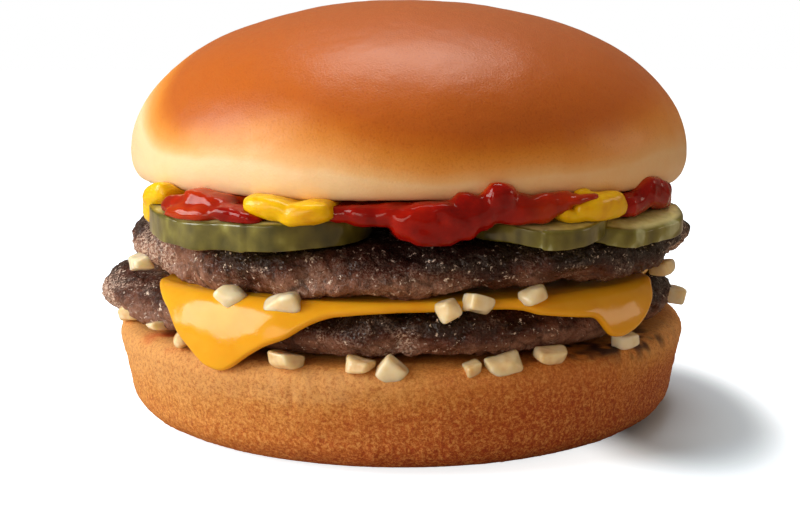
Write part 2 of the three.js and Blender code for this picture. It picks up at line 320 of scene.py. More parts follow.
# The crown's plain form: half an ellipse turned, with a lip that curls in under its widest height
def crownForm(s):
    b = bearings(s["columns"])
    t = np.radians(np.linspace(90, 0, s["domeRows"] + 1))[:, None]
    dome = (s["radius"] * np.maximum(0, np.cos(t)) ** 0.96,
            s["widest"] + (s["top"] - s["widest"]) * np.sin(t) ** 0.98)
    depth = s["widest"] - s["underside"]
    lip = arcRows(s["lip"], s["widest"], s["radius"] - s["lip"], depth, -4, -90, s["lipRows"])
    under = lineRows(s["lip"], s["underside"], 0, s["underside"], s["underRows"])
    r, z = joinRows(s["columns"], dome, lip, under)
    uneven = 0.25 * np.sin(2 * b + 0.6) + 0.2 * np.sin(5 * b + 2)
    points = turned(r + uneven * r / s["radius"], z, b)
    points[..., 2] -= s["lean"] * points[..., 1]
    points[..., 0] += s["shiftX"]
    return points


# How dark the crust is, 0 cream to 1: it rises evenly over some millimetres from the top of the cream band, which is
# low at the front right and high at the left, and a little more towards the top. The dark spots add to it; the one on
# the right, away from the key light, is painted shade
def crownBake(points, bearing, s):
    z = points[..., 2]
    paleTo = s["paleTo"] + bumps(bearing, s["paleSpots"])
    paleTo = paleTo + 0.9 * softNoise(points, 16, 9) + 0.5 * softNoise(points, 5, 10)
    over = s["browning"] + bumps(bearing, s["quickSpots"])
    return 0.8 * np.clip((z - paleTo) / over, 0, 1) + 0.2 * smooth(z, 56, 70) + bumps(bearing, s["darkAndShadeSpots"])


# Relief: broad swells, fine creases that run up from the lip, and dimples of the baked skin; the cut crumb below is
# rougher
def makeCrown(s, material):
    points = crownForm(s)
    relief = s["swell"] * softNoise(points, s["swellSize"], 3)
    relief += 0.4 * s["swell"] * softNoise(points, s["swellSize"] / 2.4, 4)
    bearing = np.arctan2(points[..., 0], -points[..., 1])
    low = smooth(points[..., 2], 55, 44) * smooth(points[..., 2], 40.4, 41.5)
    along = np.stack([bearing * 50, points[..., 2] / 5, 0 * bearing], axis=-1)
    relief -= s["wrinkle"] * low * np.abs(softNoise(along, 1.7, 5)) * (0.4 + 0.6 * softNoise(points, 9, 6))
    relief += s["skinDimple"] * softNoise(points, 1.3, 7)
    crumb = smooth(points[..., 2], 40.9, 40.3)
    relief += 0.18 * crumb * softNoise(points, 0.9, 8)
    piece = closedSkin("crown_bun", raised(points, relief), {"cut": crumb, "baked": crownBake(points, bearing, s)})
    serve(piece, "crown", material)


# Enriched bread, baked and brushed with butter: a thin satin skin, deep copper where the oven's heat fell, paling to
# cream where the dough swelled last. Fine pores of about 0.3 mm stipple the highlight. The right side is painted a
# little darker, as painted shade.
def crownCrust():
    material, add, surface, place, bake, cut = startMaterial("bakedBunCrust", (0.12, 0.002, (1.0, 0.45, 0.2)), {
        "IOR": 1.46, "Specular IOR Level": 0.36,
    }, "baked", "cut")
    cloud = add("TexNoise", {"Scale": featureOf(5), "Detail": 4, "Roughness": 0.6}, place)
    drift = add("Math", {"operation": "MULTIPLY_ADD", 1: 0.10, 2: -0.05}, cloud)
    # The bake level, which on the right also holds painted shade
    level = add("Math", {"operation": "ADD"}, {0: bake, 1: drift})
    baked = add("ValToRGB", {"stops": [
        (0.0, "#FADCAE"), (0.12, "#F2C080"), (0.28, "#E8A04E"), (0.45, "#DA8A2E"), (0.62, "#C8701C"),
        (0.8, "#BC6218"), (1.0, "#B45E24")]}, level)
    pores = add("TexNoise", {"Scale": featureOf(0.34), "Detail": 2, "Roughness": 0.6}, place)
    speckle = add("ValToRGB", {"stops": [(0.3, "#DCC0A4"), (0.48, "#FFFFFF"), (0.72, "#FFF8EC")]}, pores)
    shown = add("MapRange", {"From Min": 0.05, "From Max": 0.4, "To Min": 0.05, "To Max": 0.4}, level)
    tinted = add("Mix", {"data_type": "RGBA", "blend_type": "MULTIPLY"}, {0: shown, 6: baked, 7: speckle})
    crumb = add("Mix", {"data_type": "RGBA", 7: linear("#E6C48C")}, {0: cut, 6: tinted})
    gloss = add("MapRange", {"To Min": 0.3, "To Max": 0.42}, cloud)
    skin = add("Bump", {"Strength": 0.35, "Distance": 0.00012}, {"Height": pores})
    feed(surface, {"Base Color": crumb, "Roughness": gloss, "Normal": skin})
    return material


heelShape = {
    "radius": 50, "foot": 41.4, "height": 16.5, "rimRound": 2.8, "footOut": 6.9, "footUp": 5.6,
    "waist": 1.1, "waistAt": 0.52,  # how far the wall has drawn in at this share of the height
    "columns": 960, "grain": 0.2, "grainSize": 0.56, "coarse": 0.2, "crease": 0.36,
    "creased": (-22, 26), "crinkled": (-18, 24), "greased": (-53, 9),  # bearing, half width
    "scorched": (53, 20), "singed": (38, 14), "paleBand": (-16, 34), "paleRim": (66, 40),
}


# The heel: flat top, rounded rim, a wall that draws in a little towards a flat foot
def heelForm(s):
    n = s["columns"]
    b = bearings(n)
    rim = s["radius"] - s["rimRound"]
    waist, waistUp = s["radius"] - s["waist"], s["height"] * s["waistAt"]
    r, z = joinRows(
        n,
        lineRows(0, s["height"], 36, s["height"], 10),
        lineRows(36, s["height"], rim, s["height"], 14),
        arcRows(rim, s["height"] - s["rimRound"], s["rimRound"], s["rimRound"], 90, 0, 12),
        lineRows(s["radius"], s["height"] - s["rimRound"], waist, waistUp, 12),
        lineRows(waist, waistUp, s["foot"] + s["footOut"], s["footUp"], 8),
        arcRows(s["foot"], s["footUp"], s["footOut"], s["footUp"], 0, -90, 22),
        lineRows(s["foot"], 0, 0, 0, 12),
    )
    uneven = 0.3 * np.sin(3 * b + 1) + 0.22 * np.sin(5 * b + 0.4)
    return turned(r + uneven * r * z / (s["radius"] * s["height"]), z, b)


# Relief: sandy grains on the wall, soft hollows, and short upright creases in the smoother band under the rim. The
# attributes give the wall; how pale it is baked, with the left side, where the key light falls, made paler as painted
# light; where it is scorched by the patty or smeared with juice; and where it is crinkled, which is tinted paler as a
# painted highlight
def makeHeel(s, material):
    points = heelForm(s)
    z = points[..., 2]
    bearing = np.arctan2(points[..., 0], -points[..., 1])
    away, _, _ = lumpNoise(points, s["grainSize"], 11)
    wall = smooth(np.hypot(points[..., 0], points[..., 1]), 40, 44) * smooth(z, 0.3, 1.2)
    wall = wall * (1 - 0.2 * smooth(z, 11.5, 14.5))
    relief = s["grain"] * wall * (0.55 - away)
    relief += 0.5 * s["grain"] * softNoise(points, 1.4, 12) * wall
    relief += s["coarse"] * softNoise(points, 7, 13) * smooth(z, 0.2, 2.5)
    along = np.stack([bearing * 50, z / 4, 0 * z], axis=-1)
    band = smooth(z, 9.5, 12.5) * smooth(z, 16.6, 15.6)
    fold = np.maximum(0, softNoise(along, 1.5, 14) - 0.25)
    relief -= s["crease"] * band * fold * (0.35 + 0.65 * bump(bearing, *s["creased"]))
    # Where it is crinkled the crust is later tinted paler: a painted highlight along the crinkles
    crinkle = band * smooth(np.abs(softNoise(along, 0.9, 17)), 0.3, 0.0)
    crinkle = crinkle * bump(bearing, *s["crinkled"]) * smooth(z, 16.4, 15.5)
    base = smooth(z, 0.02, 0.3)
    # Painted light: the left side, where the key light falls, is made paler and yellower; the band under the rim and
    # the rim at the right are paler too
    bake = 0.36 - 0.54 * smooth(points[..., 0], -44, 28) + 0.2 * band * bump(bearing, *s["paleBand"])
    bake = bake + 0.4 * bump(bearing, *s["paleRim"]) * smooth(z, 9, 15)
    blot = softNoise(points * [1, 1, 0.5], 6, 15) + 0.4 * softNoise(points, 1.5, 16)
    scorch = bump(bearing, *s["scorched"]) * smooth(z, 13.4, 16.2) * smooth(blot, -0.15, 0.25)
    scorch += 0.8 * bump(bearing, *s["singed"]) * smooth(z, 15.6, 16.4) * smooth(blot, -0.1, 0.4)
    grease = bump(bearing, *s["greased"]) * smooth(z, 14.8, 16.2) * smooth(blot, -0.45, 0.1)
    piece = closedSkin("heel_bun", raised(points, relief * base), {
        "wall": wall, "bake": bake, "scorch": np.clip(scorch, 0, 1), "grease": grease, "crinkle": crinkle})
    serve(piece, "heel", material)


# The same bread, baked against a floured tin: matt and sandy, each grain of 0.4 to 0.8 mm pale on a browned ground,
# smoother and lighter just under the cut, with dark scorch marks and a smear of orange juice by the patty. The left
# side, where the key light falls, is painted paler and yellower as painted light, and the crinkles under the rim carry
# a painted highlight
def heelCrust():
    material, add, surface, place, *marks = startMaterial("sandyBunHeelCrust", (0.08, 0.0015, (1.0, 0.5, 0.25)), {
        "IOR": 1.45,
    }, "wall", "bake", "crinkle", "grease", "scorch")
    wall, bake, crinkle, grease, scorch = marks
    axes = add("SeparateXYZ", None, place)
    cloud = add("TexNoise", {"Scale": featureOf(8), "Detail": 6, "Roughness": 0.72}, place)
    height = add("MapRange", {"From Max": 0.0165, "To Min": 0.26, "To Max": 0.8}, axes.outputs["Z"])
    drift = add("Math", {"operation": "MULTIPLY_ADD", 1: 0.5, 2: -0.25}, cloud)
    level = add("Math", {"operation": "ADD"}, {0: height, 1: drift})
    # The bake level, which also carries the painted light on the left side
    shifted = add("Math", {"operation": "ADD"}, {0: level, 1: bake})
    ground = add("ValToRGB", {"stops": [
        (0.0, "#A8480A"), (0.2, "#C0560E"), (0.42, "#D2691A"), (0.66, "#E48C34"), (0.86, "#ECA24C"),
        (1.0, "#F4B468")]}, shifted)
    grains = add("TexNoise", {"Scale": featureOf(0.55), "Detail": 6, "Roughness": 0.86}, place)
    sandy = add("ValToRGB", {"stops": [(0.5, 0.0), (0.59, 1.0)]}, grains)
    toasted = add("ValToRGB", {"stops": [(0.36, "#CC8C50"), (0.52, "#FFFFFF")]}, grains)
    crust = add("Mix", {"data_type": "RGBA", "blend_type": "MULTIPLY"}, {0: wall, 6: ground, 7: toasted})
    amount = add("Math", {"operation": "MULTIPLY", 1: 0.75}, wall)
    dusted = add("Math", {"operation": "MULTIPLY"}, {0: sandy, 1: amount})
    # Painted highlight: a pale gold tint along the crinkles under the rim
    creased = add("Math", {"operation": "MULTIPLY", 1: 0.2}, crinkle)
    for mask, tint in ((dusted, "#FFC26E"), (creased, "#FFD090"), (grease, "#D8500C"), (scorch, "#3C1606")):
        crust = add("Mix", {"data_type": "RGBA", 7: linear(tint)}, {0: mask, 6: crust})
    gloss = add("MapRange", {"To Min": 0.42, "To Max": 0.6}, wall)
    skin = add("Bump", {"Strength": 0.9, "Distance": 0.0004}, {"Height": grains})
    feed(surface, {"Base Color": crust, "Roughness": gloss, "Normal": skin})
    return material


cheeseShape = {
    "edge": 46.2, "thick": 1.5, "middle": 25.3, "quick": 58, "fold": 1.6, "slow": 3.2, "columns": 640,
    "ripple": 0.3,
    "hem": [  # bearing, height of the hanging edge
        (-163, 25.5), (-157, 24), (-149, 20.7), (-142, 17.8), (-137, 16.8), (-131, 18), (-125, 20.7), (-117, 24),
        (-110, 25.5), (-68, 25.7), (-62, 25.6), (-58, 25.45), (-55.5, 25.2), (-53.5, 24.7), (-51.4, 24.0),
        (-46.7, 22.2), (-44.7, 20.8), (-42.6, 19.1), (-39.2, 17.2),
        (-36.2, 15.4), (-34.2, 14.9), (-32, 14.8), (-29.7, 15.8), (-27, 17.6), (-23.8, 19.3),
        (-19.7, 20.7), (-17.2, 22.2), (-14.7, 23.3), (-12.2, 24), (-7.2, 24.5), (-0.4, 25), (15.5, 25.1),
        (19.5, 24.9), (22.3, 24.5), (24.3, 23.8), (28.1, 23.3), (36, 22.4), (37.4, 21.6), (38.4, 19.8),
        (40, 19), (42.5, 18.8), (46.2, 19.6), (49.3, 20.8), (53.2, 22.8), (55.5, 24.3), (59, 25.3), (64, 25.5),
        (105, 25.5), (112, 23.8), (120, 20.4), (127, 18.2), (133, 17.6), (139, 18.4), (147, 21), (154, 24),
        (160, 25.5),
    ],
}


# The curve in which the slice hangs: over a length l its slope is quick (1 - e^(-l / fold)) + slow l degrees; gives
# length, slope, run outwards and drop, the last two summed by trapezoids
def hangCurve(s):
    length = np.linspace(0, 17, 340)
    slope = np.radians(s["quick"] * (1 - np.exp(-length / s["fold"])) + s["slow"] * length)
    run, drop = [np.concatenate([[0], np.cumsum((part[1:] + part[:-1]) / 2) * length[1]])
                 for part in (np.cos(slope), np.sin(slope))]
    return length, slope, run, drop


# How far the slice reaches at a bearing, measured along it, so that its edge hangs to the hem's height. Where the
# hem stands above the slice it doesn't hang, and ends 10 mm further in for each millimetre above
def sliceReach(bearing, s):
    at, height = np.array(s["hem"]).T
    low = sum(np.interp(np.degrees(bearing) + d, at, height, period=360) for d in (-0.7, -0.3, 0.3, 0.7)) / 4
    length, _, _, drop = hangCurve(s)
    return s["edge"] + np.interp(s["middle"] - low, drop, length) - 10 * np.maximum(0, low - s["middle"])


# Where a length along the slice lies once draped: radius, height, and the two parts of the slice's normal
def drape(flat, s):
    length, slope, run, drop = hangCurve(s)
    past = flat - s["edge"]
    angle = np.interp(past, length, slope) * (past > 0)
    r = np.minimum(flat, s["edge"]) + np.interp(past, length, run)
    return r, s["middle"] - np.interp(past, length, drop), np.sin(angle), np.cos(angle)


# The slice as a closed skin: its top out to the edge, a rounded end, and back underneath. Where it hangs it is rippled
def makeCheese(s, material):
    b = bearings(s["columns"])
    reach = sliceReach(b, s)
    half = s["thick"] / 2
    share = np.concatenate([np.linspace(0, 0.7, 8), np.linspace(0.7, 1, 60)[1:]])[:, None]
    angle = np.radians(np.linspace(90, -90, 13))[:, None]
    flat = np.vstack([share * (reach - half), reach - half + half * np.cos(angle)[1:-1],
                      share[::-1] * (reach - half)])
    off = np.vstack([half + 0 * share, half * np.sin(angle)[1:-1], -half + 0 * share[::-1]])
    r, z, outPart, upPart = drape(flat, s)
    points = turned(r + off * outPart, z + off * upPart, b)
    hanging = smooth(flat, 45, 49)[..., None]
    wave = s["ripple"] * softNoise(points * [1, 1, 0.8], 6.5, 21) + 0.2 * s["ripple"] * softNoise(points, 3.0, 22)
    points = points + hanging * turned(np.ones_like(r), 0 * z, b) * wave[..., None] * [1, 1, 0]
    points[..., 2] -= 0.15 * frontSag(b) * smooth(r, 38, 44) * smooth(flat, 47.5, 45.5)
    serve(closedSkin("cheese_slice", points), "cheese", material)


# Processed cheddar, melted and set again: smooth, slightly translucent and waxy, so light softens its edges
def meltedCheese():
    material, add, surface, place = startMaterial("meltedProcessedCheddar", (0.3, 0.0022, (1.0, 0.45, 0.08)), {
        "Roughness": 0.16, "IOR": 1.46, "Specular IOR Level": 0.35,
    })
    cloud = add("TexNoise", {"Scale": featureOf(6), "Detail": 3}, place)
    colour = add("ValToRGB", {"stops": [(0.3, "#EEA81C"), (0.55, "#F2B022"), (0.75, "#F6B828")]}, cloud)
    film = add("TexNoise", {"Scale": featureOf(2.2), "Detail": 2}, place)
    skin = add("Bump", {"Strength": 0.18, "Distance": 0.0004}, {"Height": film})
    feed(surface, {"Base Color": colour, "Normal": skin})
    return material


lowerShape = {
    "radius": 47.9, "wide": 0.6, "middle": 20.6, "half": 3.45, "shoulder": 4.6, "edge": 3.8, "seed": 31, "sag": 0,
    "raw": 0.14, "rare": [(-64, 44, 0.5), (32, 26, 0.34)],  # less seared: bearing, half width, how much
    "pale": [(-76, 22, 1), (-19, 10, 1), (-1, 7, 1), (14, 8, 1), (29, 9, 1), (120, 20, 1), (-130, 20, 1),
             (180, 24, 1)],  # patches of pale grain
}
upperShape = {
    "radius": 48, "wide": 0.9, "middle": 30.75, "half": 3.5, "shoulder": 8, "edge": 4, "seed": 51, "sag": 1,
    "raw": -0.08, "rare": [(-64, 44, 0.5), (-16, 14, 0.12)],
    "pale": [(-66, 24, 1), (-23, 8, 1), (35, 9, 1), (72, 12, 1), (130, 24, 1), (-120, 20, 1), (170, 20, 1)],
}
mince = {
    "columns": 880, "swell": 0.85, "swellSize": 5.5, "lump": 0.85, "lumpSize": 3.3, "curd": 0.5, "curdSize": 1.3,
    "grain": 0.3, "grainSize": 0.66,
}


# Large lumps round the edge: three waves of the bearing that shift with the height
def crag(b, z):
    return (0.5 * np.sin(7 * b + 0.5 * z + 1) + 0.42 * np.sin(12 * b - 0.8 * z + 2)
            + 0.36 * np.sin(19 * b + 1.1 * z + 1.5))


# A patty's plain form: a disc with a rounded edge; reach, lift and crags say how the edge differs at each bearing
def pattyForm(s, reach, lift, crags):
    n = mince["columns"]
    b = bearings(n)
    rim = s["radius"] - s["wide"] * np.cos(2 * b) + reach
    inner = rim - s["shoulder"]
    r, z = joinRows(
        n,
        lineRows(0, s["half"], 30, s["half"], 5),
        lineRows(30, s["half"], inner, s["half"], 26),
        arcRows(inner, 0, s["shoulder"], s["half"], 90, 0, 32),
        arcRows(rim - s["edge"], 0, s["edge"], s["half"], 0, -90, 26),
        lineRows(rim - s["edge"], -s["half"], 34, -s["half"], 16),
        lineRows(34, -s["half"], 0, -s["half"], 4),
    )
    outer = (r / rim) ** 8
    z = s["middle"] + z
    return turned(r + crags * crag(b, z) * outer, z + lift * outer, b), outer


# Minced meat: broad swells, then lumps, curds and grains, each a dome over its own drawn point, sampled at places
# that are pushed about so that no two are alike. Gives the relief, how deep a cleft is, which is later painted as
# shade, and a tone for each curd
def minceRelief(points, seed, m):
    warped = points + 0.8 * np.stack([softNoise(points, 1.7, seed + n) for n in (1, 2, 3)], axis=-1)
    away, cleft, own = lumpNoise(warped, m["lumpSize"], seed)
    fine, fineCleft, fineOwn = lumpNoise(warped, m["curdSize"], seed + 5)
    grain, _, grainOwn = lumpNoise(points, m["grainSize"], seed + 9)
    relief = m["swell"] * softNoise(points, m["swellSize"], seed + 12) + m["lump"] * (0.55 - away ** 1.5)
    relief += m["curd"] * (0.5 - fine) * (0.4 + 1.2 * fineOwn) + m["grain"] * (0.5 - grain) * (0.3 + 1.4 * grainOwn)
    # How deep a cleft is, for the painted shade in the clefts
    pit = (1 - smooth(cleft, 0.0, 0.16)) * (own > 0.35) * 0.7
    pit = pit + (1 - smooth(fineCleft, 0, 0.2)) * (fineOwn > 0.45) * 0.5
    return relief, np.clip(pit, 0, 1), 0.35 * own + 0.65 * fineOwn


# A patty: its form raised by the mince's relief, which fades inwards and under the cheese, and its underside lowered
# by the sag. How seared it is rises with the height and by soft noise; pale grain gathers in a few patches
def makePatty(name, node, s, form, outer, pressed, material):
    relief, pit, own = minceRelief(form, s["seed"], mince)
    reachOut = smooth(outer, 0.15, 0.55)
    points = raised(form, (relief - 0.12) * reachOut * (1 - 0.75 * pressed))
    share = 0.5 + 0.5 * (form[..., 2] - s["middle"]) / s["half"]
    bearing = np.arctan2(form[..., 0], -form[..., 1])
    points[..., 2] -= s["sag"] * frontSag(bearing) * smooth(share, 0.75, 0.0) * smooth(outer, 0.1, 0.6)
    seared = smooth(share, 0.05, 0.95) + 0.42 * softNoise(form, 6.5, s["seed"] + 20) - s["raw"]
    seared = seared - bumps(bearing, s["rare"])
    frost = smooth(softNoise(form, 4.2, s["seed"] + 21) + 0.5 * softNoise(form, 1.7, s["seed"] + 22), -0.2, 0.4)
    frost = frost * (0.14 + 0.86 * bumps(bearing, s["pale"]))
    piece = closedSkin(name, points, {"cleft": pit, "lump": own, "seared": np.clip(seared, 0, 1), "frost": frost})
    serve(piece, node, material)


# The lower patty: a tongue to the left that curls up, a shorter right end, pressed smooth under the hanging cheese
def makeLowerPatty(material):
    b = bearings(mince["columns"])
    tongue = bump(b, -86, 34)
    over = np.max([sliceReach(b + np.radians(d), cheeseShape) for d in (-3, 0, 3)], axis=0) - cheeseShape["edge"]
    pressed = np.clip((over - 2) / 3, 0, 1)
    reach = 4 * tongue - 1.3 * pressed - 2 * bump(b, 82, 30)
    form, outer = pattyForm(lowerShape, reach, 0.9 * tongue, 1 - 0.8 * pressed)
    makePatty("beef_patty_lower", "patty_lower", lowerShape, form, outer, pressed, material)


# The upper patty leans to the left, and its front has sunk towards the lower one
def makeUpperPatty(material):
    form, outer = pattyForm(upperShape, -0.3 * bump(bearings(mince["columns"]), 84, 22), 0, 1)
    x, y, z = form[..., 0], form[..., 1], form[..., 2]
    form = np.stack([x + 1.5, y, z + upperLean * x - settled(x, y)], -1)
    makePatty("beef_patty_upper", "patty_upper", upperShape, form, outer, 0, material)


# Minced beef seared on a hot plate: a near-black crust on the upper half, grey-brown crumbly meat below with pale
# grains of set fat and protein of about 0.4 mm, wet enough that curds carry their own glints. Glints of about 0.9 mm
# are drawn as pale dots too, because the real ones are finer than the render shows
def searedBeef():
    material, add, surface, place, seared, lump, cleft, frost = startMaterial("searedMincedBeef", (), {
        "IOR": 1.45, "Specular IOR Level": 0.2, "Specular Tint": (1, 0.8, 0.68, 1), "Coat Weight": 0.4,
        "Coat Roughness": 0.04,
    }, "seared", "lump", "cleft", "frost")
    cloud = add("TexNoise", {"Scale": featureOf(2.2), "Detail": 5, "Roughness": 0.7}, place)
    drift = add("Math", {"operation": "MULTIPLY_ADD", 1: 0.7, 2: -0.35}, cloud)
    level = add("Math", {"operation": "ADD"}, {0: seared, 1: drift})
    crust = add("ValToRGB", {"stops": [
        (0.0, "#9C7260"), (0.2, "#7E5444"), (0.4, "#562A1E"), (0.6, "#3A1710"), (0.8, "#260E09"), (1.0, "#190805")]},
        level)
    own = add("ValToRGB", {"stops": [(0.1, "#C0A89C"), (0.5, "#FFFFFF"), (0.95, "#FFF0E4")]}, lump)
    meat = add("Mix", {"data_type": "RGBA", "blend_type": "MULTIPLY", 0: 0.7}, {6: crust, 7: own})
    grains = add("TexNoise", {"Scale": featureOf(0.38), "Detail": 2, "Roughness": 0.7}, place)
    pale = add("ValToRGB", {"stops": [(0.47, 0.0), (0.58, 1.0)]}, grains)
    patchy = add("Math", {"operation": "ADD", 1: 0.05}, frost)
    raw = add("MapRange", {"From Min": 0.9, "From Max": 0.2, "To Min": 0.3, "To Max": 1.0}, level)
    amount = add("Math", {"operation": "MULTIPLY"}, {0: patchy, 1: raw})
    specked = add("Math", {"operation": "MULTIPLY"}, {0: pale, 1: amount})
    # Painted shade: the clefts between lumps and curds darkened
    darkness = add("Math", {"operation": "MULTIPLY", 1: 0.75}, cleft)
    # Painted glints: sparse pale dots in the base colour, standing in for highlights on wet curds
    drops = add("TexNoise", {"Scale": featureOf(0.9), "Detail": 3, "Roughness": 0.7}, place)
    sparse = add("ValToRGB", {"stops": [(0.61, 0.0), (0.65, 0.9)]}, drops)
    regions = add("ValToRGB", {"stops": [(0.44, 0.0), (0.56, 1.0)]}, cloud)
    glints = add("Math", {"operation": "MULTIPLY"}, {0: sparse, 1: regions})
    for mask, tint in ((specked, "#F0D6C6"), (darkness, "#1E0B06"), (glints, "#FFEEE0")):
        meat = add("Mix", {"data_type": "RGBA", 7: linear(tint)}, {0: mask, 6: meat})
    gloss = add("MapRange", {"From Min": 0.2, "From Max": 0.8, "To Min": 0.75, "To Max": 0.5}, level)
    skin = add("Bump", {"Strength": 1.0, "Distance": 0.0006}, {"Height": grains})
    beads = add("TexNoise", {"Scale": featureOf(1.2), "Detail": 2, "Roughness": 0.5}, place)
    juice = add("Bump", {"Strength": 1.0, "Distance": 0.0012}, {"Height": beads})
    feed(surface, {"Base Color": meat, "Roughness": gloss, "Normal": skin, "Coat Normal": juice})
    return material


pickleSeat = 34.6  # the height at which a slice would rest if nothing leaned or sank
pickleShapes = {  # centre, half width and depth, turn, thickness, bend (bearing, start, rate), how much paler
    "pickle_left": {"at": (-22.5, -28.5), "size": (15.5, 20.5), "turn": 44, "thick": 4.0,
                   "bend": (-39, 43.5, 0.015), "pale": -0.06},
    "pickle_middle": {"at": (20.3, -33.7), "size": (10.5, 12.3), "turn": 0, "thick": 2.7,
                     "bend": (31, 44, 0.024), "pale": 0.06},
    "pickle_right": {"at": (30.8, -23.4), "size": (13.9, 14.2), "turn": 0, "thick": 2.4,
                    "bend": (25, 40, 0.035), "pale": 0.22},
    "pickle_back": {"at": (-4, 30), "size": (15.5, 14.8), "turn": 20, "thick": 3,
                   "bend": (188, 40, 0.03), "pale": 0},
}
pickleFinish = {"columns": 260, "round": 0.28, "ridge": 0.05, "seeds": 0.12, "seedStep": 1.3}


# The oval's radius at a bearing, waved: wave / hypot(sin / width, cos / depth)
def pickleRim(bearing, p, seed):
    along = bearing - np.radians(p["turn"])
    wave = 1 + 0.022 * np.sin(5 * bearing + seed) + 0.014 * np.sin(8 * bearing + 2 * seed)
    return wave / np.hypot(np.sin(along) / p["size"][0], np.cos(along) / p["size"][1])


# How far a slice sinks at a place: with the patty under it, and over the patty's shoulder by rate (past start)^2
def pickleSink(x, y, p):
    bendBearing, start, rate = p["bend"]
    past = np.maximum(0, x * math.sin(math.radians(bendBearing)) - y * math.cos(math.radians(bendBearing)) - start)
    return settled(x, y) + rate * past ** 2 - upperLean * x


# A slice: a waved oval plate with rounded edges, sunk with what is under it. Relief: ridges of the skin round its side
# and seeds on its top; the attributes give the skin, how far out a place is, and the skin's streaks, whose palest
# parts become painted highlights
def makePickle(name, order, material):
    p, f = pickleShapes[name], pickleFinish
    b = bearings(f["columns"])
    rim = pickleRim(b, p, f["seedStep"] * order)
    thick, corner = p["thick"], f["round"]
    edge = rim - corner
    r, z = joinRows(
        f["columns"],
        lineRows(0, thick, edge, thick, 34),
        arcRows(edge, thick - corner, corner, corner, 90, 0, 6),
        lineRows(rim, thick - corner, rim, corner, 12),
        arcRows(edge, corner, corner, corner, 0, -90, 6),
        lineRows(edge, 0, 0, 0, 20),
    )
    local = turned(r, z, b)
    side = smooth(r / rim, 0.93, 0.985)
    along = np.stack([np.broadcast_to(b * 16, r.shape), z / 3.5, 0 * r + order * 7], axis=-1)
    relief = f["ridge"] * side * softNoise(along, 1.3, 61) + 0.2 * side * softNoise(along, 4.2, 62)
    relief += f["seeds"] * (1 - side) * softNoise(local + [0, 0, order * 9], 2.2, 63) * (z > thick / 2)
    local = raised(local, relief)
    x, y = local[..., 0] + p["at"][0], local[..., 1] + p["at"][1]
    z = local[..., 2] + pickleSeat - pickleSink(x, y, p)
    streak = 0.5 + p["pale"] + 0.24 * softNoise(along, 1.1, 64) + 0.4 * softNoise(local, 1.7, 65)
    piece = closedSkin(name + "_slice", np.stack([x, y, z], -1), {"skin": side, "ring": r / rim, "streak": streak})
    serve(piece, name, material)


# Cucumber sliced and pickled in brine: a wet olive skin with paler streaks, the palest of them grey-green painted
# highlights, and pale green flesh that is a little darker towards its middle
def brinedCucumber():
    light = (0.25, 0.0015, (0.8, 1.0, 0.2))
    material, add, surface, place, skin, ring, streak = startMaterial("brinedCucumberSlice", light, {
        "Roughness": 0.3, "IOR": 1.38, "Specular IOR Level": 0.4, "Coat Weight": 0.7, "Coat Roughness": 0.05,
    }, "skin", "ring", "streak")
    flesh = add("ValToRGB", {"stops": [
        (0.0, "#BCB866"), (0.55, "#C8C476"), (0.72, "#D2CE86"), (0.95, "#DAD696")]}, ring)
    # The skin's colour by its streaks; the palest stop, a pale grey-green, is a painted highlight
    rind = add("ValToRGB", {"stops": [
        (0.05, "#4A4814"), (0.35, "#625E20"), (0.62, "#75702C"), (0.8, "#8A8840"), (0.92, "#B4BA8E")]}, streak)
    mixed = add("Mix", {"data_type": "RGBA"}, {0: skin, 6: flesh, 7: rind})
    cloud = add("TexNoise", {"Scale": featureOf(1.6), "Detail": 3}, place)
    blotch = add("ValToRGB", {"stops": [(0.3, "#C4C4A8"), (0.6, "#FFFFFF")]}, cloud)
    colour = add("Mix", {"data_type": "RGBA", "blend_type": "MULTIPLY", 0: 0.6}, {6: mixed, 7: blotch})
    wet = add("Bump", {"Strength": 0.3, "Distance": 0.0003}, {"Height": cloud})
    feed(surface, {"Base Color": colour, "Normal": wet})
    return material


sauceFinish = {"columns": 160, "voxel": 0.4, "rounds": 7, "bulge": 2.3, "stem": 7.0, "square": 2.9}
mustardShape = {
    "sheet": 36, "top": 39.85, "under": 39.4, "core": (27, 39.4), "seed": 71, "ripple": 0.22, "fold": 0.1,
    "thin": [],
    "lobes": [  # bearing, height, reach, half width, half height, tilt
        (-53.5, 39.7, 49.4, 4.2, 1.9, 14), (-55.5, 37.2, 49.0, 3.3, 2.6, 0), (-23.0, 39.6, 50.8, 4.4, 1.7, -6),
        (-16.4, 39.0, 50.8, 4.2, 1.7, 8), (36.9, 39.2, 50.6, 5.2, 2.3, 0), (39.6, 38.9, 50.4, 3.6, 2.0, 0),
        (33.0, 41.3, 49.2, 1.4, 0.7, 10),
        (30.4, 37.9, 49.6, 2.6, 0.9, -20), (95, 38.7, 48.6, 4.4, 1.9, 6), (100, 38.0, 48.0, 3.2, 1.5, -8),
        (144, 38.2, 49.0, 4.2, 2.0, 0), (150, 37.4, 48.6, 3.4, 1.5, 12), (-146, 38.2, 48.8, 5.0, 1.7, -5),
    ],
}
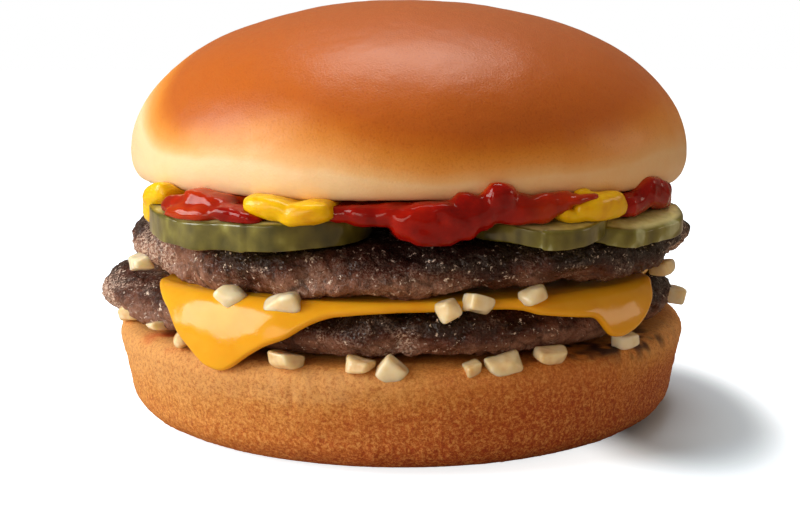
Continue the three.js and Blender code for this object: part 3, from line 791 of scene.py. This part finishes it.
ketchupShape = {
    "sheet": 39, "top": 38.95, "under": 38.5, "core": (25, 34.95), "seed": 81, "ripple": 0.3, "fold": 0.14,
    "thin": [(28, 11, 0.4), (-40, 10, 0.4)],  # thinner: bearing, half width, how much
    "lobes": [
        (-43.5, 38.7, 50.3, 4.2, 1.9, 10), (-36.5, 39.5, 50.2, 5.0, 1.9, -8), (-38.5, 38.0, 51.8, 5.4, 1.3, 3),
        (-29.0, 38.2, 51.3, 5.0, 1.3, -6), (-10.0, 38.9, 48.6, 3.6, 1.4, 0), (-5.5, 38.7, 48.8, 3.6, 1.5, 6),
        (-1.5, 38.8, 49.1, 3.8, 1.7, 4), (2.9, 38.0, 50.0, 4.4, 2.7, 8), (5.6, 36.6, 50.0, 4.4, 2.2, 0),
        (8.8, 38.1, 50.2, 4.2, 2.8, -8), (12.6, 39.4, 50.0, 3.8, 2.3, -24), (16.5, 41.2, 50.6, 2.5, 2.3, 0),
        (19.0, 39.4, 50.0, 3.4, 2.4, 0), (23.0, 39.2, 49.9, 3.8, 2.1, 0), (27.0, 39.9, 49.9, 3.6, 2.1, 6),
        (32.0, 40.5, 50.6, 3.4, 0.75, 5), (47.8, 38.8, 49.6, 4.2, 1.9, 6), (53.5, 40.1, 50.4, 4.3, 2.6, -16),
        (58.5, 39.0, 49.8, 3.4, 2.2, 10), (118, 38.6, 48.9, 4.6, 2.2, 0), (124, 37.8, 48.6, 3.8, 1.9, 8),
        (-166, 38.4, 49.4, 5.2, 1.9, 0), (-174, 38.9, 49.0, 4.4, 1.6, -6), (-109, 38.3, 49.0, 4.6, 2.4, 5),
        (-115, 37.8, 48.6, 3.4, 1.9, -8),
    ],
}


# The highest a sauce may stand under the crown: its underside, and outside that the curl of its lip
def crownFloor(x, y):
    s = crownShape
    r = np.hypot(x - s["shiftX"], y)
    past = np.clip((r - s["lip"]) / (s["radius"] - s["lip"]), 0, 1)
    curl = (s["widest"] - s["underside"]) * np.sqrt(1 - past ** 2)
    return np.where(r < s["radius"], s["widest"] - curl, 90) - s["lean"] * y - 0.1


# The height of the pickle under a place, and of the patty where there is none
def pickleRoof(x, y):
    roof = np.full(x.shape, 34.3) + upperLean * x - settled(x, y)
    for order, p in enumerate(pickleShapes.values()):
        dx, dy = x - p["at"][0], y - p["at"][1]
        inside = np.hypot(dx, dy) < pickleRim(np.arctan2(dx, -dy), p, pickleFinish["seedStep"] * order) - 0.15
        roof = np.where(inside, np.maximum(roof, pickleSeat + p["thick"] - pickleSink(x, y, p) + 0.1), roof)
    return roof


# How far a place stands off the crown: outside its wall, or below its underside
def offCrown(points):
    s = crownShape
    x, y = points[..., 0] - s["shiftX"], points[..., 1]
    z = points[..., 2] + s["lean"] * y
    drop = np.clip((s["widest"] - z) / (s["widest"] - s["underside"]), 0, 1)
    wall = s["lip"] + (s["radius"] - s["lip"]) * np.sqrt(1 - drop ** 2)
    return np.maximum(np.hypot(x, y) - wall, s["underside"] - z)


# One pressed-out lobe: a squarish ellipsoid, d / (sum of |d|^p)^(1/p) times its half sizes, whose inner half is drawn
# inwards by a stem so that it joins the sheet
def sauceLobe(spec, seed):
    at, height, reach, wide, tall, tilt = spec
    f = sauceFinish
    b = bearings(30)
    up = np.radians(np.linspace(90, -90, 19))[:, None]
    d = turned(np.cos(up) + 0 * b, np.sin(up) + 0 * b, b)
    bulge = min(f["bulge"], 1.5 * tall)
    power = f["square"]
    points = d / np.sum(np.abs(d) ** power, axis=-1, keepdims=True) ** (1 / power) * [wide, bulge, tall] * 0.96
    points[..., 1] = np.where(d[..., 1] > 0, points[..., 1] + f["stem"], points[..., 1])
    points = points * (1 + 0.1 * softNoise(d * 2 + seed, 1.0, seed))[..., None]
    return spun(spun(points, 1, -tilt) + [0, bulge - reach, height], 2, at)


# A sauce: a sheet under the crown, pooled in the middle, run together with the lobes pressed out at the rim. It
# keeps under the crown and over the pickles, and its skin is rippled and folded. The attribute gives where it is a
# thin film: close to the crown, and at the thinner bearings
def makeSauce(name, node, s, material):
    f = sauceFinish
    b = bearings(f["columns"])
    end = s["sheet"] + 1.2 * softNoise(turned(b * 0 + 40, b * 0, b), 9, s["seed"])
    r, z = joinRows(
        f["columns"],
        lineRows(0, s["top"], end, s["top"], 8),
        lineRows(end, s["under"], s["core"][0] + 3, s["under"], 3),
        lineRows(s["core"][0], s["core"][1] - 0.1, 0, s["core"][1] - 0.1, 6),
    )
    skins = [turned(r, z, b)] + [sauceLobe(spec, s["seed"] + i) for i, spec in enumerate(s["lobes"])]
    piece = closedSkin(name, skins)
    melted(piece, f["voxel"], f["rounds"])
    points, normals = readPoints(piece.data)
    shown = smooth(np.hypot(points[:, 0], points[:, 1]), 38, 44)
    crease = 1 - 2 * np.abs(softNoise(points * [1, 1, 1.5], 3.4, s["seed"] + 4))
    relief = s["ripple"] * softNoise(points, 3.0, s["seed"] + 3) + s["fold"] * crease ** 3
    relief += 0.12 * s["ripple"] * softNoise(points, 1.3, s["seed"] + 5)
    points += normals * (shown * relief)[:, None]
    x, y = points[:, 0], points[:, 1]
    above, below = crownFloor(x, y), pickleRoof(x, y)
    points[:, 2] = np.minimum(np.maximum(points[:, 2], np.minimum(below, above - 0.3)), above)
    film = smooth(offCrown(points), 1.3, 0.1) + bumps(np.arctan2(x, -y), s["thin"])
    streaky = smooth(softNoise(points, 2.6, s["seed"] + 6), -0.6, 0.6)
    piece.data.vertices.foreach_set("co", (points * mm).astype(np.float32).ravel())
    paint(piece.data, {"film": np.clip(film * shown * (0.35 + 0.65 * streaky), 0, 1)})
    piece.data.update()
    serve(piece, node, material)


# Tomato ketchup: a wet gel, deep red where it is thick, orange-red where it is a thin film, with sharp highlights
def tomatoKetchup():
    material, add, surface, place, thin = startMaterial("tomatoKetchup", (0.3, 0.0016, (1.0, 0.14, 0.04)), {
        "Roughness": 0.1, "IOR": 1.42, "Specular IOR Level": 0.38,
    }, "film")
    cloud = add("TexNoise", {"Scale": featureOf(3), "Detail": 3}, place)
    colour = add("ValToRGB", {"stops": [(0.25, "#760401"), (0.5, "#940B02"), (0.8, "#B61A04")]}, cloud)
    edged = add("Mix", {"data_type": "RGBA", 7: linear("#DA560A")}, {0: thin, 6: colour})
    film = add("TexNoise", {"Scale": featureOf(2.2), "Detail": 1}, place)
    skin = add("Bump", {"Strength": 0.15, "Distance": 0.0008}, {"Height": film})
    feed(surface, {"Base Color": edged, "Normal": skin})
    return material


# Yellow mustard: a smooth opaque paste with a soft gloss, whose yellow drifts a little from place to place
def yellowMustard():
    material, add, surface, place = startMaterial("yellowMustard", (0.25, 0.0015, (1.0, 0.6, 0.04)), {
        "Roughness": 0.24, "IOR": 1.42, "Specular IOR Level": 0.45,
    })
    cloud = add("TexNoise", {"Scale": featureOf(2.4), "Detail": 3}, place)
    colour = add("ValToRGB", {"stops": [(0.3, "#E6AC02"), (0.5, "#F4C404"), (0.8, "#F8D00C")]}, cloud)
    skin = add("Bump", {"Strength": 0.2, "Distance": 0.0004}, {"Height": cloud})
    feed(surface, {"Base Color": colour, "Normal": skin})
    return material


onionCut = {"reach": 47.6, "depth": 4.6, "size": 0.77, "columns": 52, "rows": 30, "sharpness": 7}
upperOnions = [  # bearing, height of the middle, length, thickness, turn, how much further out
    (-61, 27.9, 5.8, 3.2, 8, 0.9), (-32.1, 25.6, 5.2, 3.9, -24, 0), (-21.6, 25.3, 7.6, 4.3, 14, 0),
    (8.1, 25, 4.6, 3.9, 20, 0), (13.7, 25.8, 5.6, 3.3, -12, 0), (24, 26.6, 5.8, 2.9, 10, 0),
    (62, 27.2, 5.8, 3, 4, 0.9),
]
lowerOnions = [
    (79, 20, 5, 3.6, 0, 0.8), (-73, 17.9, 7.2, 3.8, 14, 1.3), (-56, 18.1, 4, 1.9, 6, 0),
    (-44.3, 17.9, 4.8, 3.1, 30, 0.9), (-20.5, 17.1, 6.2, 3.3, 4, 1), (-7.5, 17.2, 5.6, 2.3, 2, 0.6),
    (-1.7, 16.3, 5.2, 4.2, -32, 1.1),
    (12.2, 16.4, 3.2, 2.2, 8, 0.6), (17.9, 16.6, 7.4, 3, 9, 1), (27, 17.3, 6.3, 2.7, -6, 0.8),
    (46.2, 17.4, 5, 3, 12, 0.6),
]
backOnions = {"count": 4, "from": 104, "to": 262, "upperHeight": 26.2, "lowerHeight": 17}


# The dice of the back: evenly over its bearings, with draws that push each a little and vary its size and turn
def backRow(height, seed):
    o = backOnions
    step = (o["to"] - o["from"]) / o["count"]
    return [(o["from"] + step * (i + 0.5 + 0.3 * draw(seed + i)), height + 0.4 * draw(seed + 20 + i),
             5.2 + 1.2 * draw(seed + 40 + i), 3.1 + 0.5 * draw(seed + 60 + i), 16 * draw(seed + 80 + i), 0.5)
            for i in range(o["count"])]


# Turns places about an axis (0 x, 1 y, 2 z) by degrees
def spun(points, axis, degrees):
    c, s = math.cos(math.radians(degrees)), math.sin(math.radians(degrees))
    i, j = [(1, 2), (2, 0), (0, 1)][axis]
    result = points.copy()
    result[..., i] = c * points[..., i] - s * points[..., j]
    result[..., j] = s * points[..., i] + c * points[..., j]
    return result


# A cut block with rounded edges: from the middle each direction reaches 1 / (sum of (d . n / distance)^p)^(1/p) over
# its cut faces, six of a box, tilted, and two that take off corners
def makeOnion(node, spec, seed, material):
    at, height, long, tall, turn, out = spec
    o = onionCut
    b = bearings(o["columns"])
    up = np.radians(np.linspace(90, -90, o["rows"] + 1))[:, None]
    d = turned(np.cos(up) + 0 * b, np.sin(up) + 0 * b, b)
    half = o["size"] * np.array([long / 2, o["depth"] / 2, tall / 2])
    faces = []
    for axis in range(3):
        for sign in (-1, 1):
            n = np.array([0.16 * draw(seed + 13 * axis + 3 * sign + k) for k in range(3)])
            n[axis] = sign
            faces.append((n / np.linalg.norm(n), half[axis] * 0.98))
    for k in range(2):
        n = np.array([draw(seed + 90 + k), -abs(draw(seed + 93 + k)) - 0.2, draw(seed + 96 + k)])
        n /= np.linalg.norm(n)
        faces.append((n, 0.86 * float(np.linalg.norm(half * n))))
    total = sum(np.maximum(0, d @ n / distance) ** o["sharpness"] for n, distance in faces)
    points = d / (total ** (1 / o["sharpness"]))[..., None]
    points[..., 2] += 0.03 * points[..., 0] ** 2 * draw(seed + 7)  # the layer's own curve
    grow = 0.14 * softNoise(points + seed, 2.1, 91) + 0.05 * softNoise(points + seed, 0.8, 92)
    points = raised(points, grow)
    points = spun(spun(spun(points, 0, 10 * draw(seed + 3)), 1, -turn), 2, 12 * draw(seed + 4))
    points = spun(points + [0, -o["reach"] - out, height], 2, at)
    tone = np.full(points.shape[:2], 0.5 + 0.5 * draw(seed + 5))
    piece = closedSkin(node + "_dice", points, {"tone": tone})
    serve(piece, node, material)


# Diced onion, steamed in the stack: wet, translucent and creamy, some dice warmer from the juice, others paler
def steamedOnion():
    material, add, surface, place, tone = startMaterial("steamedDicedOnion", (0.8, 0.0024, (1.0, 0.8, 0.5)), {
        "Roughness": 0.24, "IOR": 1.38, "Coat Weight": 0.35, "Coat Roughness": 0.12,
    }, "tone")
    cloud = add("TexNoise", {"Scale": featureOf(2.2), "Detail": 3}, place)
    level = add("Math", {"operation": "MULTIPLY_ADD", 1: 0.5}, {0: tone, 2: cloud})
    colour = add("ValToRGB", {"stops": [(0.4, "#DCB886"), (0.65, "#F0D8AA"), (0.95, "#FAEBCC")]}, level)
    skin = add("Bump", {"Strength": 0.25, "Distance": 0.0003}, {"Height": cloud})
    feed(surface, {"Base Color": colour, "Normal": skin})
    return material


studio = {  # metres, watts
    "camera": (-0.0003, -0.220, 0.0615), "pitch": 0.1645, "lens": 55.35, "aim": (0, 0, 0.035), "floorHalf": 4,
    "lights": {
        "overheadSoftbox": {"at": (0.0, 0.10, 0.55), "size": (0.36, 0.26), "watts": 1.9, "tint": "#FFF6EE"},
        "keySoftbox": {"at": (-0.49, -0.12, 0.24), "size": (0.34, 0.34), "watts": 2.65, "tint": "#FFFDF8"},
        "fillSoftbox": {"at": (-0.34, -0.52, 0.14), "size": (0.34, 0.22), "watts": 0.85, "tint": "#FFEEDC"},
        "reflectingCard": {"at": (0.46, -0.02, 0.14), "size": (0.16, 0.12), "watts": 0.17, "tint": "#FFE8D0"},
    },
    "world": 0.25, "shadeTint": "#FFE2C4", "floor": (0.68, 0.84, 1.0), "bounce": (0.5, 0.42, 0.34),
    "glow": (0.8, 1.0), "glowFrom": 0.08, "glowTo": 0.3,
    "shadow": {"at": (0.047, -0.012, 0), "radius": (0.015, 0.032, 1), "from": 0.7, "to": 1.5},
}


# The camera where the photograph was taken from, level across and tilted down by the pitch
def makeCamera(s):
    data = bpy.data.cameras.new("photographCamera")
    data.lens = s["lens"]
    data.sensor_width = 36
    data.sensor_fit = "HORIZONTAL"
    data.clip_start = 0.005
    data.clip_end = 20
    camera = bpy.data.objects.new("photographCamera", data)
    camera.location = s["camera"]
    camera.rotation_euler = (math.pi / 2 - s["pitch"], 0, 0)
    bpy.context.scene.collection.objects.link(camera)
    bpy.context.scene.camera = camera


# An area light that looks at the middle of the burger
def makeSoftbox(name, light):
    data = bpy.data.lights.new(name, "AREA")
    data.shape = "RECTANGLE"
    data.size, data.size_y = light["size"]
    data.energy = light["watts"]
    data.color = linear(light["tint"])[:3]
    lamp = bpy.data.objects.new(name, data)
    place = np.array(light["at"])
    lamp.location = place
    away = np.array(studio["aim"]) - place
    flat = math.hypot(away[0], away[1])
    lamp.rotation_euler = (math.atan2(flat, -away[2]), 0, math.atan2(away[1], away[0]) - math.pi / 2)
    bpy.context.scene.collection.objects.link(lamp)


# The camera sees a white world; the burger is lit by a dimmer, warmer one
def makeWorld(s):
    world = bpy.data.worlds.new("whiteStudio")
    world.use_nodes = True
    world.node_tree.nodes.clear()
    add = functools.partial(addNode, world.node_tree)
    seen = add("LightPath").outputs["Is Camera Ray"]
    shade = add("Background", {"Color": linear(s["shadeTint"]), "Strength": s["world"]})
    backdrop = add("Background", {"Color": (1, 1, 1, 1), "Strength": 1.0})
    light = add("MixShader", None, {0: seen, 1: shade, 2: backdrop})
    add("OutputWorld", None, light)
    bpy.context.scene.world = world


# A painted floor that glows to white away from the burger, and less in an oval where its shadow falls; what it throws
# back on the burger is a plain warm grey
def makeFloor(s):
    half = s["floorHalf"]
    mesh = bpy.data.meshes.new("studioFloor")
    mesh.from_pydata([(-half, -half, 0), (half, -half, 0), (half, half, 0), (-half, half, 0)], [], [(0, 1, 2, 3)])
    floor = bpy.data.objects.new("studioFloor", mesh)
    bpy.context.scene.collection.objects.link(floor)
    material = bpy.data.materials.new("paintedStudioFloor")
    material.use_nodes = True
    material.node_tree.nodes.clear()
    add = functools.partial(addNode, material.node_tree)
    bounce = add("BsdfDiffuse", {"Color": (*s["bounce"], 1)})
    shown = add("BsdfDiffuse", {"Color": (*s["floor"], 1)})
    place = add("TexCoord").outputs["Object"]
    away = add("VectorMath", {"operation": "LENGTH"}, place)
    fade = add("MapRange", {
        "interpolation_type": "SMOOTHSTEP", "From Min": s["glowFrom"], "From Max": s["glowTo"],
        "To Min": s["glow"][0], "To Max": s["glow"][1]}, away)
    shadow = s["shadow"]
    spot = add("VectorMath", {"operation": "SUBTRACT", 1: shadow["at"]}, place)
    oval = add("VectorMath", {"operation": "DIVIDE", 1: shadow["radius"]}, spot)
    offCentre = add("VectorMath", {"operation": "LENGTH"}, oval)
    clear = add("MapRange", {
        "interpolation_type": "SMOOTHSTEP", "From Min": shadow["from"], "From Max": shadow["to"]}, offCentre)
    lit = add("Math", {"operation": "MULTIPLY"}, {0: fade, 1: clear})
    glow = add("Emission", None, {"Strength": lit})
    both = add("AddShader", None, {0: shown, 1: glow})
    seen = add("LightPath").outputs["Is Camera Ray"]
    mixed = add("MixShader", None, {0: seen, 1: bounce, 2: both})
    add("OutputMaterial", None, mixed)
    mesh.materials.append(material)


bpy.context.scene.view_settings.view_transform = "Standard"
makeCamera(studio)
for name, light in studio["lights"].items():
    makeSoftbox(name, light)
makeWorld(studio)
makeFloor(studio)
print("studio made")
makeCrown(crownShape, crownCrust())
print("crown made")
makeHeel(heelShape, heelCrust())
print("heel made")
beef = searedBeef()
makeLowerPatty(beef)
makeUpperPatty(beef)
print("patties made")
makeCheese(cheeseShape, meltedCheese())
print("cheese made")
cucumber = brinedCucumber()
for order, name in enumerate(pickleShapes):
    makePickle(name, order, cucumber)
print("pickles made")
makeSauce("mustard_squeezed", "mustard", mustardShape, yellowMustard())
makeSauce("ketchup_squeezed", "ketchup", ketchupShape, tomatoKetchup())
print("sauces made")
steamed = steamedOnion()
for order, spec in enumerate(upperOnions + backRow(backOnions["upperHeight"], 3)):
    makeOnion(f"onion_upper_{order + 1}", spec, 7 * order, steamed)
for order, spec in enumerate(lowerOnions + backRow(backOnions["lowerHeight"], 203)):
    makeOnion(f"onion_lower_{order + 1}", spec, 7 * order + 420, steamed)
print("onions made")
